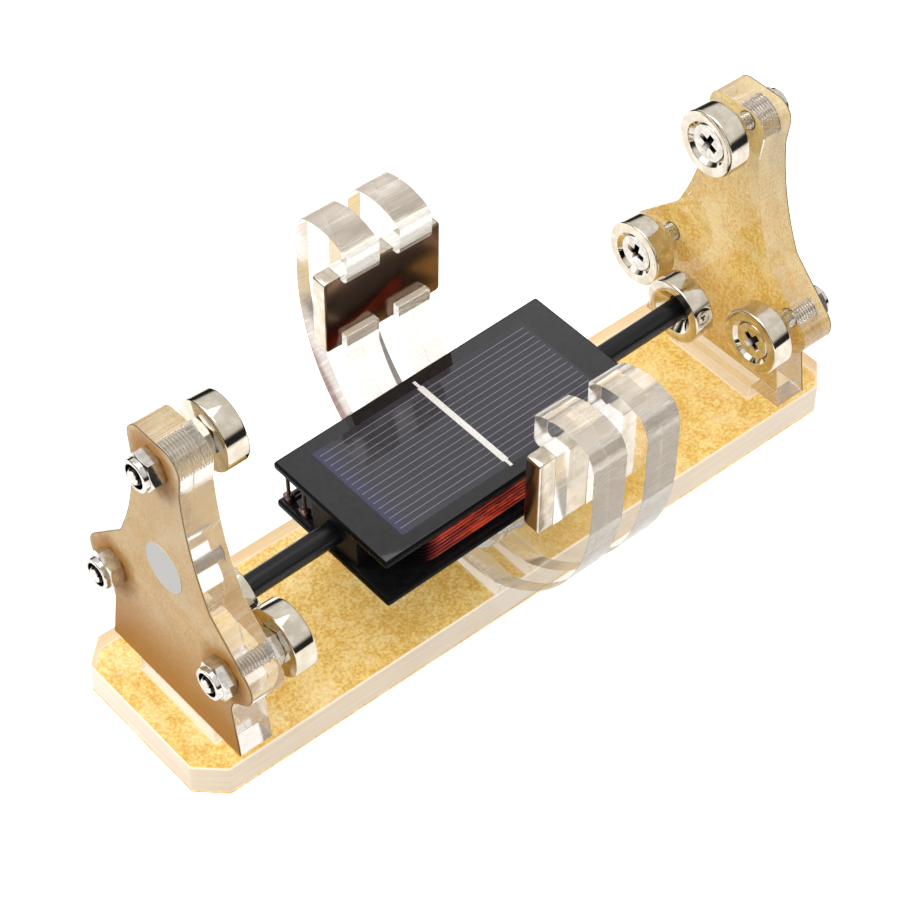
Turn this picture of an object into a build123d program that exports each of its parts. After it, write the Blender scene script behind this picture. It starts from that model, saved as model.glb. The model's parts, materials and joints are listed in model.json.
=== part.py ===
from build123d import *
from math import asin, ceil, cos, dist, hypot, radians, sin, tan
import os

# A levitating solar motor on a clear stand. Millimetres. X runs along the shaft, from the end
# plate that the shaft's point runs against (near) to the other one (far). Z is up. The origin
# is on the surface that the stand rests on, under the middle of the base.

# Base
base_length = 170.4
base_width = 43.0
base_thickness = 7.3
base_corner_x = 5.5
base_corner_y = 5.2
paper_thickness = 0.15
slot_clearance = 0.1
seat_gap = 0.03

# End plates, with heights above the top of the base
plate_thickness = 7.6
plate_inset = 9.2
top_screw_height = 64.55
side_screw_height = 22.55
top_lobe_half = 7.8
top_lobe_over = 6.5
top_lobe_round = 4.3
stem_half = 7.2
shoulder_half = 13.9
shoulder_height = 35.65
stem_top_drop = 3.0
stem_hollow = (1.25, 0.5)
side_lobe_reach = 7.9
side_lobe_cheek = (1.4, 3.3)
side_lobe_chin = (1.8, 3.8)
side_lobe_neck = (3.9, 5.4)
waist_half = 18.5
waist_height = 12.2
waist_hollow = (0.9, 0.5)
foot_half = 20.4
tab_half = 12.0
screw_hole = 4.2
sticker_diameter = 11.0
sticker_height = 36.85
sticker_thickness = 0.1

# Ring magnets, countersunk screws and nuts
ring_diameter = 15.0
ring_thickness = 5.0
ring_bore = 4.3
countersink_mouth = 10.0
ring_edge = 0.4
thread_diameter = 4.0
screw_length = 20.0
head_diameter = 7.8
head_rim = 0.3
head_seat_gap = 0.02
cross_length = 4.4
cross_width = 0.95
cross_depth = 1.5
nut_across_flats = 7.0
nut_height = 3.2
nut_thread_gap = 0.02
stator_gap = 1.4

# Stator arms and their block magnets; the arms' arcs are centred at the working height
arm_thickness = 8.4
arm_pitch = 13.55
arm_centre_x = 1.1
slot_rail = 1.67
working_height = 39.55
arm_web = 13.7
limb_thickness = 10.17
block_length = 30.0
block_height = 18.9
block_thickness = 4.0
block_clearance = 0.05
block_edge = 0.35
claw_shoulder = 3.1
claw_bend = (0.8, 2.3)
claw_round = (2.1, 4.1)
claw_crown = 8.5
claw_crown_in = 8.7
claw_reach = 2.3
claw_tip_drop = 2.35
claw_drop = 0.8
claw_nose = (0.45, 0.4)
claw_nose_width = 1.5
claw_nose_rise = 0.6
claw_gap = 0.1
hook_width = 1.7
hook_rise = 3.7
hook_root = 1.5

# Rotor
rotor_y = -1.2
rotor_tilt = 2.2
rotor_base_clearance = 1.15
arm_running_gap = 0.85
rotor_centre_x = -3.7
panel_length = 69.2
panel_width = 34.9
panel_thickness = 1.84
cell_length = 55.0
cell_width = 28.0
cell_thickness = 0.3
shaft_diameter = 5.0
shaft_fit = 0.01
thrust_gap = 0.3
point_length = 2.2
point_radius = 0.35
pin_diameter = 2.0
pin_depth = 5.0
near_magnet_to_shaft_end = 0.4
far_magnet_lead = 6.7
shaft_past_far_magnet = 1.2
block_inset = 1.0
block_half_width = 7.0

# Winding between the panels
turns = 8
wire_diameter = 0.58
wire_gap = 0.45
winding_margin = 0.32
winding_side_inset = 1.43
winding_end_inset = 8.1
winding_corner = 5.0
core_gap = 0.05
lead_bend = 2.5
lead_spacing = 5.2
pad_length = 1.8
pad_width = 2.2
pad_height = 1.8
link_diameter = 0.8
block_to_winding = 0.8

# Places that follow from the sizes above
base_low = paper_thickness + seat_gap
base_top = base_low + base_thickness
plate_foot = base_top + seat_gap
plate_outer_x = base_length / 2 - plate_inset
plate_inner_x = plate_outer_x - plate_thickness
ring_rear_x = plate_inner_x - seat_gap - nut_height
ring_front_x = ring_rear_x - ring_thickness
head_recess = (countersink_mouth - head_diameter) / 2 - head_rim - head_seat_gap
top_screw_z = base_top + top_screw_height
side_screw_z = base_top + side_screw_height
side_screw_y = ring_diameter + abs(rotor_y) + stator_gap
working_z = base_top + working_height
slot_half = base_width / 2 - slot_rail
arm_outer_radius = hypot(slot_half - slot_clearance, working_height)
arm_inner_radius = arm_outer_radius - arm_web
block_rear_y = arm_outer_radius - limb_thickness - seat_gap
block_inner_y = block_rear_y - block_thickness
pitch = wire_diameter + wire_gap
panel_gap = turns * pitch + wire_diameter + 2 * winding_margin
panel_outer = panel_gap / 2 + panel_thickness
swing_radius = hypot(panel_width / 2, panel_outer)
tilt_slope = tan(radians(rotor_tilt))
near_reach = panel_length / 2 - rotor_centre_x
rotor_z = base_top + rotor_base_clearance + swing_radius + near_reach * tilt_slope
arm_relief_radius = swing_radius + abs(rotor_y) + arm_running_gap
arm_relief_z = rotor_z + arm_centre_x * tilt_slope
rotor_frame = Location((0, rotor_y, rotor_z), (0, -rotor_tilt, 0))


def flat(*points):
    """A flat shape bounded by straight lines through the points."""
    return make_face(Polyline(*points, close=True))


def on_end(shape, x, thickness):
    """A shape drawn as (Y, Z), standing across X and thickened towards +X."""
    return extrude(Plane.YZ.offset(x) * shape, thickness)


def rod(radius, x_start, x_end, y=0.0, z=0.0):
    """A round bar along X."""
    bar = Cylinder(radius, x_end - x_start, align=(Align.CENTER, Align.CENTER, Align.MIN))
    return Location((x_start, y, z), (0, 90, 0)) * bar


def box_between(low, high):
    """A box between two opposite corners."""
    size = [b - a for a, b in zip(low, high)]
    return Pos(*low) * Box(*size, align=(Align.MIN, Align.MIN, Align.MIN))


# ---------------------------------------------------------------- stand

def arm_centres():
    return [arm_centre_x + side * arm_pitch / 2 for side in (-1, 1)]


def base_outline():
    half_x = base_length / 2
    half_y = base_width / 2
    points = []
    for sx, sy in ((1, 1), (-1, 1), (-1, -1), (1, -1)):
        pair = [
            (sx * half_x, sy * (half_y - base_corner_y)),
            (sx * (half_x - base_corner_x), sy * half_y),
        ]
        points += pair if sx * sy > 0 else pair[::-1]
    outline = flat(*points)
    for x in arm_centres():
        outline -= Pos(x, 0) * Rectangle(arm_thickness + 2 * slot_clearance, 2 * slot_half)
    tab_x = (plate_inner_x + plate_outer_x) / 2
    tab_slot = Rectangle(plate_thickness + 2 * slot_clearance, 2 * (tab_half + slot_clearance))
    for side in (-1, 1):
        outline -= Pos(side * tab_x, 0) * tab_slot
    return outline


def base_plate():
    return Pos(0, 0, base_low) * extrude(base_outline(), base_thickness)


def base_masking_paper():
    return extrude(base_outline(), paper_thickness)


def screw_places():
    return {
        "top": (0.0, top_screw_z),
        "left": (side_screw_y, side_screw_z),
        "right": (-side_screw_y, side_screw_z),
    }


def plate_outline():
    """Three-lobed end plate above the base, as (Y, Z), with its screw holes."""
    top = top_screw_z + top_lobe_over
    stem_top = top_screw_z - stem_top_drop
    shoulder = base_top + shoulder_height
    lobe = side_screw_y + side_lobe_reach
    chin = (lobe - side_lobe_chin[0], side_screw_z - side_lobe_chin[1])
    cheek = (lobe - side_lobe_cheek[0], side_screw_z + side_lobe_cheek[1])
    neck = (lobe - side_lobe_neck[0], side_screw_z - side_lobe_neck[1])
    waist = (waist_half, base_top + waist_height)
    under_neck = (waist_half + waist_hollow[0], (waist[1] + neck[1]) / 2 + waist_hollow[1])
    stem_middle_y = (shoulder_half + stem_half) / 2 - stem_hollow[0]
    stem_middle = (stem_middle_y, (shoulder + stem_top) / 2 - stem_hollow[1])
    edges = [
        Line((0, plate_foot), (foot_half, plate_foot)),
        Line((foot_half, plate_foot), waist),
        ThreePointArc(waist, under_neck, neck),
        Line(neck, chin),
        ThreePointArc(chin, (lobe, side_screw_z), cheek),
        Line(cheek, (shoulder_half, shoulder)),
        ThreePointArc((shoulder_half, shoulder), stem_middle, (stem_half, stem_top)),
        Line((stem_half, stem_top), (top_lobe_half, top - top_lobe_round)),
        ThreePointArc(
            (top_lobe_half, top - top_lobe_round),
            (top_lobe_half - 0.3 * top_lobe_round, top - 0.26 * top_lobe_round),
            (top_lobe_half - top_lobe_round, top),
        ),
        Line((top_lobe_half - top_lobe_round, top), (0, top)),
        Line((0, top), (0, plate_foot)),
    ]
    half = make_face(edges)
    outline = half + mirror(half, about=Plane.YZ)
    for y, z in screw_places().values():
        outline -= Pos(y, z) * Circle(screw_hole / 2)
    return outline


def end_plate(side):
    """One end plate with the tab that goes down through the base."""
    tab_height = plate_foot - base_low
    tab = Pos(0, plate_foot - tab_height / 2) * Rectangle(2 * tab_half, tab_height)
    start = plate_inner_x if side > 0 else -plate_outer_x
    return on_end(plate_outline() + tab, start, plate_thickness)


def plate_paper(side):
    inner_face = plate_outer_x + seat_gap
    start = inner_face if side > 0 else -inner_face - paper_thickness
    return on_end(plate_outline(), start, paper_thickness)


def inspection_sticker():
    face_x = plate_outer_x + seat_gap + paper_thickness
    height = base_top + sticker_height
    return rod(sticker_diameter / 2, -face_x - sticker_thickness, -face_x, 0, height)


def stator_arm(centre_x):
    """A C-shaped arm whose two claws grip the block magnets' edges."""
    r = arm_outer_radius
    pocket_rear = block_rear_y + seat_gap
    pocket_half = block_height / 2 + block_clearance
    shoulder = pocket_half + claw_shoulder
    bend = (r - claw_bend[0], shoulder + claw_bend[1])
    round_end = (r - claw_round[0], shoulder + claw_round[1])
    crown = (r - claw_crown_in, pocket_half + claw_crown)
    claw_tip = (block_inner_y - claw_reach, crown[1] - claw_tip_drop)
    claw_foot_y = block_inner_y - claw_gap
    nose_start = (claw_tip[0], pocket_half + claw_nose_rise)
    nose_middle = (claw_tip[0] + claw_nose[0], pocket_half - claw_nose[1])
    nose_end = (claw_tip[0] + claw_nose_width, pocket_half - claw_drop)
    limb_edges = [
        Line((r, 0), (r, shoulder)),
        ThreePointArc((r, shoulder), bend, round_end),
        ThreePointArc(round_end, crown, claw_tip),
        Line(claw_tip, nose_start),
        ThreePointArc(nose_start, nose_middle, nose_end),
        Line(nose_end, (claw_foot_y, nose_end[1])),
        Line((claw_foot_y, nose_end[1]), (claw_foot_y, pocket_half)),
        Line((claw_foot_y, pocket_half), (pocket_rear, pocket_half)),
        Line((pocket_rear, pocket_half), (pocket_rear, 0)),
        Line((pocket_rear, 0), (r, 0)),
    ]
    limb = make_face(limb_edges)
    hollow = Pos(0, r) * Rectangle(4 * r, 2 * r)
    bow = Circle(r) - hollow - Circle(arm_inner_radius)
    bow -= Rectangle(2 * pocket_rear, 2 * pocket_half)
    hook_low = -pocket_half - hook_root
    hook_high = -pocket_half + hook_rise
    hook = Rectangle(hook_width, hook_high - hook_low)
    hook_y = claw_foot_y - hook_width / 2
    shape = bow + limb + mirror(limb, about=Plane.YZ)
    for side in (-1, 1):
        shape += Pos(side * hook_y, (hook_low + hook_high) / 2) * hook
    shape -= Pos(0, arm_relief_z - working_z) * Circle(arm_relief_radius)
    return on_end(Pos(0, working_z) * shape, centre_x - arm_thickness / 2, arm_thickness)


def block_magnet(side):
    middle_y = side * (block_inner_y + block_rear_y) / 2
    block = Pos(arm_centre_x, middle_y, working_z) * Box(block_length, block_thickness, block_height)
    return chamfer(block.edges(), block_edge)


# ---------------------------------------------------------------- screw stacks
# Each stack is drawn with its magnet's front face at z = 0 and its screw pointing up, and is
# then laid along X, pointing outwards through its end plate.

def stack_place(side, y, z):
    return Location((side * ring_front_x, y, z), (0, side * 90, 0))


def upright(radius, low, high):
    bar = Cylinder(radius, high - low, align=(Align.CENTER, Align.CENTER, Align.MIN))
    return Pos(0, 0, low) * bar


def frustum(low_radius, high_radius, low, high):
    shape = Cone(low_radius, high_radius, high - low, align=(Align.CENTER, Align.CENTER, Align.MIN))
    return Pos(0, 0, low) * shape


def ring_magnet(bore):
    ring = chamfer(upright(ring_diameter / 2, 0, ring_thickness).edges(), ring_edge)
    mouth = countersink_mouth / 2
    ring -= upright(bore / 2, -1, ring_thickness + 1)
    return ring - frustum(mouth, bore / 2, 0, mouth - bore / 2)


def countersunk_screw():
    head = head_diameter / 2
    shank = thread_diameter / 2
    cone_start = head_recess + head_rim
    tip = head_recess + screw_length
    point = 0.5
    screw = upright(head, head_recess, cone_start)
    screw += frustum(head, shank, cone_start, cone_start + head - shank)
    screw += upright(shank, cone_start + head - shank, tip - point)
    screw += frustum(shank, shank - point, tip - point, tip)
    for angle in (0, 90):
        groove = Box(cross_length, cross_width, 2 * cross_depth)
        screw -= Pos(0, 0, head_recess) * Rot(0, 0, angle + 20) * groove
    return screw


def hex_nut(low):
    corner = nut_across_flats / 2 / cos(radians(30))
    nut = extrude(RegularPolygon(corner, 6), nut_height)
    slope = 0.35
    flank = corner - slope
    shaper = frustum(flank, corner, 0, slope) + upright(corner, slope, nut_height - slope)
    shaper += frustum(corner, flank, nut_height - slope, nut_height)
    nut = nut & shaper
    nut -= upright(thread_diameter / 2 + nut_thread_gap, -1, nut_height + 1)
    return Pos(0, 0, low) * nut


def nuts(side, low, turn):
    """The three nuts of one end, as separate solids in one piece group."""
    group = []
    for index, (y, z) in enumerate(screw_places().values()):
        group.append(stack_place(side, y, z) * Rot(0, 0, turn + 17 * index) * hex_nut(low))
    return Compound(children=group)


# ---------------------------------------------------------------- rotor
# Drawn along X with its axis on X and the panels' centre at rotor_centre_x, then tilted.

def near_tip_x():
    return (-plate_inner_x + thrust_gap) / cos(radians(rotor_tilt))


def near_shaft_end():
    return near_tip_x() + point_length


def rotor_block_span():
    outer = panel_length / 2 - block_inset
    inner = panel_length / 2 - winding_end_inset + block_to_winding
    return inner, outer


def near_shaft():
    inner, _ = rotor_block_span()
    start = near_shaft_end()
    shaft = rod(shaft_diameter / 2, start, rotor_centre_x - inner)
    return shaft - rod(pin_diameter / 2, start - 1, start + pin_depth)


def far_shaft():
    inner, _ = rotor_block_span()
    end = far_magnet_x() + ring_thickness + shaft_past_far_magnet
    return rod(shaft_diameter / 2, rotor_centre_x + inner, end)


def thrust_point():
    """A pin in the near shaft's end with a rounded point that runs on the near plate."""
    start = near_shaft_end()
    pin = rod(pin_diameter / 2, start - 0.4, start + pin_depth)
    cone_length = point_length - 0.4 - point_radius
    cone = Cone(pin_diameter / 2, point_radius, cone_length, align=(Align.CENTER, Align.CENTER, Align.MIN))
    nose = Pos(start - point_length + point_radius, 0, 0) * Sphere(point_radius)
    return pin + Location((start - 0.4, 0, 0), (0, -90, 0)) * cone + nose


def far_magnet_x():
    return ring_front_x - far_magnet_lead


def rotor_magnet(side):
    """A ring magnet on the shaft, its countersink towards the panels."""
    bore = shaft_diameter + 2 * shaft_fit
    if side > 0:
        return Location((far_magnet_x(), 0, 0), (0, 90, 0)) * ring_magnet(bore)
    front = near_shaft_end() + near_magnet_to_shaft_end + ring_thickness
    return Location((front, 0, 0), (0, -90, 0)) * ring_magnet(bore)


def shaft_block(side):
    inner, outer = rotor_block_span()
    low, high = sorted((side * inner, side * outer))
    block = box_between(
        (rotor_centre_x + low, -block_half_width, -panel_gap / 2),
        (rotor_centre_x + high, block_half_width, panel_gap / 2),
    )
    bore = rod(shaft_diameter / 2 + shaft_fit, rotor_centre_x + low - 1, rotor_centre_x + high + 1)
    return block - bore


def panel_board(side):
    """A panel's board with the shallow recess that its cell lies in."""
    middle = side * (panel_gap + panel_thickness) / 2
    board = Pos(rotor_centre_x, 0, middle) * Box(panel_length, panel_width, panel_thickness)
    cell_middle = side * (panel_outer - cell_thickness / 2)
    recess = Pos(rotor_centre_x, 0, cell_middle) * Box(cell_length, cell_width, cell_thickness)
    return board - recess


def solar_cell(side):
    middle = side * (panel_outer - cell_thickness / 2)
    return Pos(rotor_centre_x, 0, middle) * Box(cell_length, cell_width, cell_thickness)


# ---------------------------------------------------------------- winding

def winding_halves():
    half_x = panel_length / 2 - winding_end_inset - wire_diameter / 2
    half_y = panel_width / 2 - winding_side_inset - wire_diameter / 2
    return half_x, half_y


def level(number):
    """Height of the wire on its number-th turn; 0 is the lead that comes in."""
    return (number - turns / 2) * pitch


def corner_arc(centre, start_turn, z, radius, sense):
    """A quarter turn about an upright line, from start_turn quarter turns, in one sense."""
    points = []
    for part in (0, 0.5, 1):
        angle = radians(90 * (start_turn + sense * part))
        points.append((centre[0] + radius * cos(angle), centre[1] + radius * sin(angle), z))
    return ThreePointArc(*points)


def climb(start, end):
    """Two arcs that lead along a run and up by one level, level at both ends."""
    length = end[0] - start[0]
    rise = end[2] - start[2]
    radius = (length**2 + rise**2) / (4 * rise)
    half_angle = asin(length / 2 / radius) / 2
    reach = radius * sin(half_angle)
    lift = radius * (1 - cos(half_angle))
    middle = ((start[0] + end[0]) / 2, start[1], (start[2] + end[2]) / 2)
    first = ThreePointArc(start, (start[0] + reach, start[1], start[2] + lift), middle)
    last = ThreePointArc(middle, (end[0] - reach, end[1], end[2] - lift), end)
    return [first, last]


def pad_places():
    """Middles of the solder pads in X and Y: the run's own line and one beside it."""
    _, half_y = winding_halves()
    x = -(panel_length / 2 - block_inset - pad_length / 2)
    return [(x, half_y), (x, half_y - lead_spacing)]


def winding_path():
    """One wire: in from a pad, round the core level by level, and out to the other pad."""
    half_x, half_y = winding_halves()
    r = winding_corner
    x_run, y_run = half_x - r, half_y - r
    lead_x = pad_places()[0][0] + pad_length / 2
    edges = [Line((lead_x, half_y, level(0)), (-x_run, half_y, level(0)))]
    for number in range(1, turns + 1):
        z = level(number)
        edges += climb((-x_run, half_y, level(number - 1)), (x_run, half_y, z))
        edges.append(corner_arc((x_run, y_run), 1, z, r, -1))
        edges.append(Line((half_x, y_run, z), (half_x, -y_run, z)))
        edges.append(corner_arc((x_run, -y_run), 0, z, r, -1))
        edges.append(Line((x_run, -half_y, z), (-x_run, -half_y, z)))
        edges.append(corner_arc((-x_run, -y_run), 3, z, r, -1))
        if number < turns:
            edges.append(Line((-half_x, -y_run, z), (-half_x, y_run, z)))
            edges.append(corner_arc((-x_run, y_run), 2, z, r, -1))
    lead_y = pad_places()[1][1]
    top = level(turns)
    bend_y = lead_y - lead_bend
    edges.append(Line((-half_x, -y_run, top), (-half_x, bend_y, top)))
    edges.append(corner_arc((-half_x - lead_bend, bend_y), 0, top, lead_bend, 1))
    edges.append(Line((-half_x - lead_bend, lead_y, top), (lead_x, lead_y, top)))
    return edges


def least_wire_gap(edges):
    """The least clear distance of the wire to itself, from points along its middle line."""
    points = []
    run = 0.0
    for edge in edges:
        steps = max(2, ceil(edge.length))
        for step in range(steps):
            points.append((run + edge.length * step / steps, tuple(edge @ (step / steps))))
        run += edge.length
    apart = 3 * pitch
    least = min(
        dist(p, q)
        for i, (s, p) in enumerate(points)
        for t, q in points[i + 1:]
        if t - s > apart and abs(p[2] - q[2]) < 2 * pitch and abs(p[0] - q[0]) < 2 * pitch
    )
    return least - wire_diameter


def coil_winding():
    edges = winding_path()
    print("least gap of the winding to itself", round(least_wire_gap(edges), 3), "mm")
    section = Plane(origin=edges[0] @ 0, z_dir=edges[0] % 0) * Circle(wire_diameter / 2)
    wire = sweep(section, path=Wire(edges))
    return Pos(rotor_centre_x, 0, 0) * wire


def coil_core():
    half_x, half_y = winding_halves()
    inward = wire_diameter / 2 + core_gap
    shape = RectangleRounded(2 * (half_x - inward), 2 * (half_y - inward), winding_corner - inward)
    return Pos(rotor_centre_x, 0, -panel_gap / 2) * extrude(shape, panel_gap)


def solder_pads():
    pads = []
    for x, y in pad_places():
        for side in (-1, 1):
            middle = side * (panel_gap - pad_height) / 2
            pads.append(Pos(rotor_centre_x + x, y, middle) * Box(pad_length, pad_width, pad_height))
    return Compound(children=pads)


def panel_link_wires():
    """Two upright wires, each between a pad of the lower panel and one of the upper panel."""
    reach = panel_gap / 2 - pad_height
    wires = []
    for x, y in pad_places():
        wires.append(Pos(rotor_centre_x + x, y, 0) * upright(link_diameter / 2, -reach, reach))
    return Compound(children=wires)


# ---------------------------------------------------------------- the whole motor

def stand_parts():
    parts = {
        "base_plate": base_plate(),
        "base_masking_paper": base_masking_paper(),
        "inspection_sticker": inspection_sticker(),
        "left_block_magnet": block_magnet(1),
        "right_block_magnet": block_magnet(-1),
    }
    for name, x in zip(("near", "far"), arm_centres()):
        parts[f"{name}_stator_arm"] = stator_arm(x)
    for name, side in (("near", -1), ("far", 1)):
        parts[f"{name}_end_plate"] = end_plate(side)
        parts[f"{name}_plate_paper"] = plate_paper(side)
        for place, (y, z) in screw_places().items():
            spot = stack_place(side, y, z)
            parts[f"{name}_{place}_ring_magnet"] = spot * ring_magnet(ring_bore)
            parts[f"{name}_{place}_screw"] = spot * countersunk_screw()
        outer = ring_thickness + nut_height + plate_thickness + paper_thickness + 2 * seat_gap
        parts[f"{name}_clamp_nuts"] = nuts(side, ring_thickness, 8)
        parts[f"{name}_lock_nuts"] = nuts(side, outer, 12)
    return parts


def rotor_parts():
    parts = {
        "near_shaft": near_shaft(),
        "far_shaft": far_shaft(),
        "thrust_point": thrust_point(),
        "near_rotor_magnet": rotor_magnet(-1),
        "far_rotor_magnet": rotor_magnet(1),
        "near_shaft_block": shaft_block(-1),
        "far_shaft_block": shaft_block(1),
        "coil_core": coil_core(),
        "coil_winding": coil_winding(),
        "solder_pads": solder_pads(),
        "panel_link_wires": panel_link_wires(),
    }
    for name, side in (("lower", -1), ("upper", 1)):
        parts[f"{name}_solar_panel"] = panel_board(side)
        parts[f"{name}_solar_cell"] = solar_cell(side)
    return {name: rotor_frame * part for name, part in parts.items()}


os.makedirs("parts", exist_ok=True)
print("rotor axis at X = 0: Y", rotor_y, "Z", round(rotor_z, 3), "tilt", rotor_tilt)
for name, part in {**stand_parts(), **rotor_parts()}.items():
    export_step(part, f"parts/{name}.step")
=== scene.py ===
"""Looks of a solar levitation motor: clear laser-cut stand with its masking paper left on,
nickel magnets, threaded screws, glossy solar panels and an enamelled winding."""

import json
from math import ceil, cos, hypot, pi, radians, sin

import bmesh
import bpy
from mathutils import Matrix, Vector

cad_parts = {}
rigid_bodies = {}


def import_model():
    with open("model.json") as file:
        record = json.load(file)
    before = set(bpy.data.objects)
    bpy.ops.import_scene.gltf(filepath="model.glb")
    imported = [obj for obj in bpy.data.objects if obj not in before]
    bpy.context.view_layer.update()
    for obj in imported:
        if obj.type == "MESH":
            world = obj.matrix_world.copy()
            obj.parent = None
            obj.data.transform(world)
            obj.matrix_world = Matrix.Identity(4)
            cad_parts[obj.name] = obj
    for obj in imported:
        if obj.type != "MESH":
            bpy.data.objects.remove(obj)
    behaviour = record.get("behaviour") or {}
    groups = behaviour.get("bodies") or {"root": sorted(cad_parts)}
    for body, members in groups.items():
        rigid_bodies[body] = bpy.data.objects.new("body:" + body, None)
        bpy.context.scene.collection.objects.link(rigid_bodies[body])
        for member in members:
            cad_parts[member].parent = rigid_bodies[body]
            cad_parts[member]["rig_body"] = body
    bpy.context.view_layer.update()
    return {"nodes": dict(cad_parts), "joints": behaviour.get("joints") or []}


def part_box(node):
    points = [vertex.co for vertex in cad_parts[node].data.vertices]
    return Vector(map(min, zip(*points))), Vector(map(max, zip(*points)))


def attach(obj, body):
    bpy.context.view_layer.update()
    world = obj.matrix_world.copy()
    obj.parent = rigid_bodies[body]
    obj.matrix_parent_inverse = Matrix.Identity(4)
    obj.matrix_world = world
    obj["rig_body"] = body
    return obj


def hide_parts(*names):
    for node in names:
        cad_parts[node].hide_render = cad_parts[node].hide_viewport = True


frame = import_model()
nodes = frame["nodes"]

MM = 0.001

# The rotor's own frame: X along the shaft, Z up through the upper panel, at rest.
spin = frame["joints"][0]
shaft_line = Vector(spin["axis"]).normalized()
across = Vector((0, 1, 0))
ROTOR = Matrix.Translation(spin["pos_m"]) @ Matrix(
    (shaft_line, across, shaft_line.cross(across))
).transposed().to_4x4()

# Sizes in millimetres. The screw heads, nuts, countersinks and the rings' edges are a touch
# larger than in the CAD model, as they look in the photograph.
RING_DIAMETER, RING_THICKNESS, RING_EDGE = 15.0, 5.0, 0.45
RING_BORE, COUNTERSINK_MOUTH = 4.3, 10.3
SHAFT_DIAMETER, SHAFT_FIT = 5.0, 0.01
THREAD_DIAMETER, THREAD_PITCH = 4.0, 0.7
THREAD_START, THREAD_DEPTH = 4.0, 0.43
HEAD_DIAMETER, HEAD_RIM, HEAD_RECESS = 8.4, 0.3, 0.6
SCREW_TIP, END_CHAMFER = 20.78, 0.6
COLLAR_DIAMETER, COLLAR_HEIGHT = 7.0, 1.1
NUT_FLATS, NUT_HEIGHT = 7.5, 3.2
PANEL_X, PANEL_LENGTH, PANEL_WIDTH = -3.7, 69.2, 34.9
PANEL_THICKNESS, PANEL_OUTER = 1.84, 6.57
CELL_LENGTH, CELL_WIDTH, CELL_DEPTH, CELL_PROUD = 55.0, 28.0, 0.25, 0.01
TURNS, WIRE, PITCH, CORNER = 8, 0.58, 1.03, 5.0
WINDING_X, WINDING_Y = 26.21, 15.73
LEAD_END_X, LEAD_SPACING, LEAD_BEND = -31.8, 5.2, 2.5

# Slopes that the photographed reflections need, for the panels' resin and the block magnets
RESIN_LEAN, BLOCK_LEAN = 0.055, 0.14

# Acrylic tint, painted shade for the right side's edges, and the share of light that goes straight
# on at a filled bore or slot
CLEAR, RIGHT_SHADE = (0.98, 0.965, 0.94, 1), (0.7, 0.655, 0.58, 1)
BORE_CLEARNESS, SLOT_CLEARNESS = 0.9, 0.5

WHITE = (1, 1, 1, 1)
DOWN = (0, 0, -1)
SHARP = 30  # an edge that turns by more degrees than this is a hard one
PLACES = ("top", "left", "right")


# ------------------------------------------------------------------ camera

def linked(name, data):
    """A new object with this data, in the scene."""
    obj = bpy.data.objects.new(name, data)
    bpy.context.scene.collection.objects.link(obj)
    return obj


def make_camera():
    """The photograph's camera, as solved from points of known size."""
    azimuth, elevation, roll = radians(48.985), radians(46.593), radians(0.71)
    place = Vector((-0.25602, -0.28688, 0.430605))
    ahead = Vector((cos(elevation) * cos(azimuth), cos(elevation) * sin(azimuth), -sin(elevation)))
    level_right = Vector((sin(azimuth), -cos(azimuth), 0))
    level_up = level_right.cross(ahead)
    right = level_right * cos(roll) + level_up * sin(roll)
    up = level_up * cos(roll) - level_right * sin(roll)
    data = bpy.data.cameras.new("camera")
    data.sensor_width = 36
    data.lens = 110.556
    data.clip_start, data.clip_end = 0.01, 50
    camera = linked("camera", data)
    turn = Matrix((right, up, -ahead)).transposed().to_4x4()
    camera.matrix_world = Matrix.Translation(place) @ turn
    bpy.context.scene.camera = camera


# ------------------------------------------------------------------ shader expressions

class Value:
    """One output of a shader node; arithmetic on it adds Math nodes."""

    def __init__(self, paint, socket):
        self.paint, self.socket = paint, socket

    def _math(self, operation, *others):
        return self.paint.add("ShaderNodeMath", {"operation": operation}, [self, *others])

    def __add__(self, other):
        return self._math("ADD", other)

    def __sub__(self, other):
        return self._math("SUBTRACT", other)

    def __rsub__(self, other):
        return self.paint.add("ShaderNodeMath", {"operation": "SUBTRACT"}, [other, self])

    def __mul__(self, other):
        return self._math("MULTIPLY", other)

    def __gt__(self, other):
        return self._math("GREATER_THAN", other)

    def __lt__(self, other):
        return self._math("LESS_THAN", other)
    # The block magnets' inner faces and the right one's near end get a painted dark reflection.

    def size(self):
        return self._math("ABSOLUTE")

    def most(self, other):
        return self._math("MAXIMUM", other)

    def ramp(self, low, high):
        """0 below low, 1 above high, smooth between them."""
        settings = {"interpolation_type": "SMOOTHSTEP"}
        values = {"Value": self, "From Min": low, "From Max": high}
        return self.paint.add("ShaderNodeMapRange", settings, values)


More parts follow.
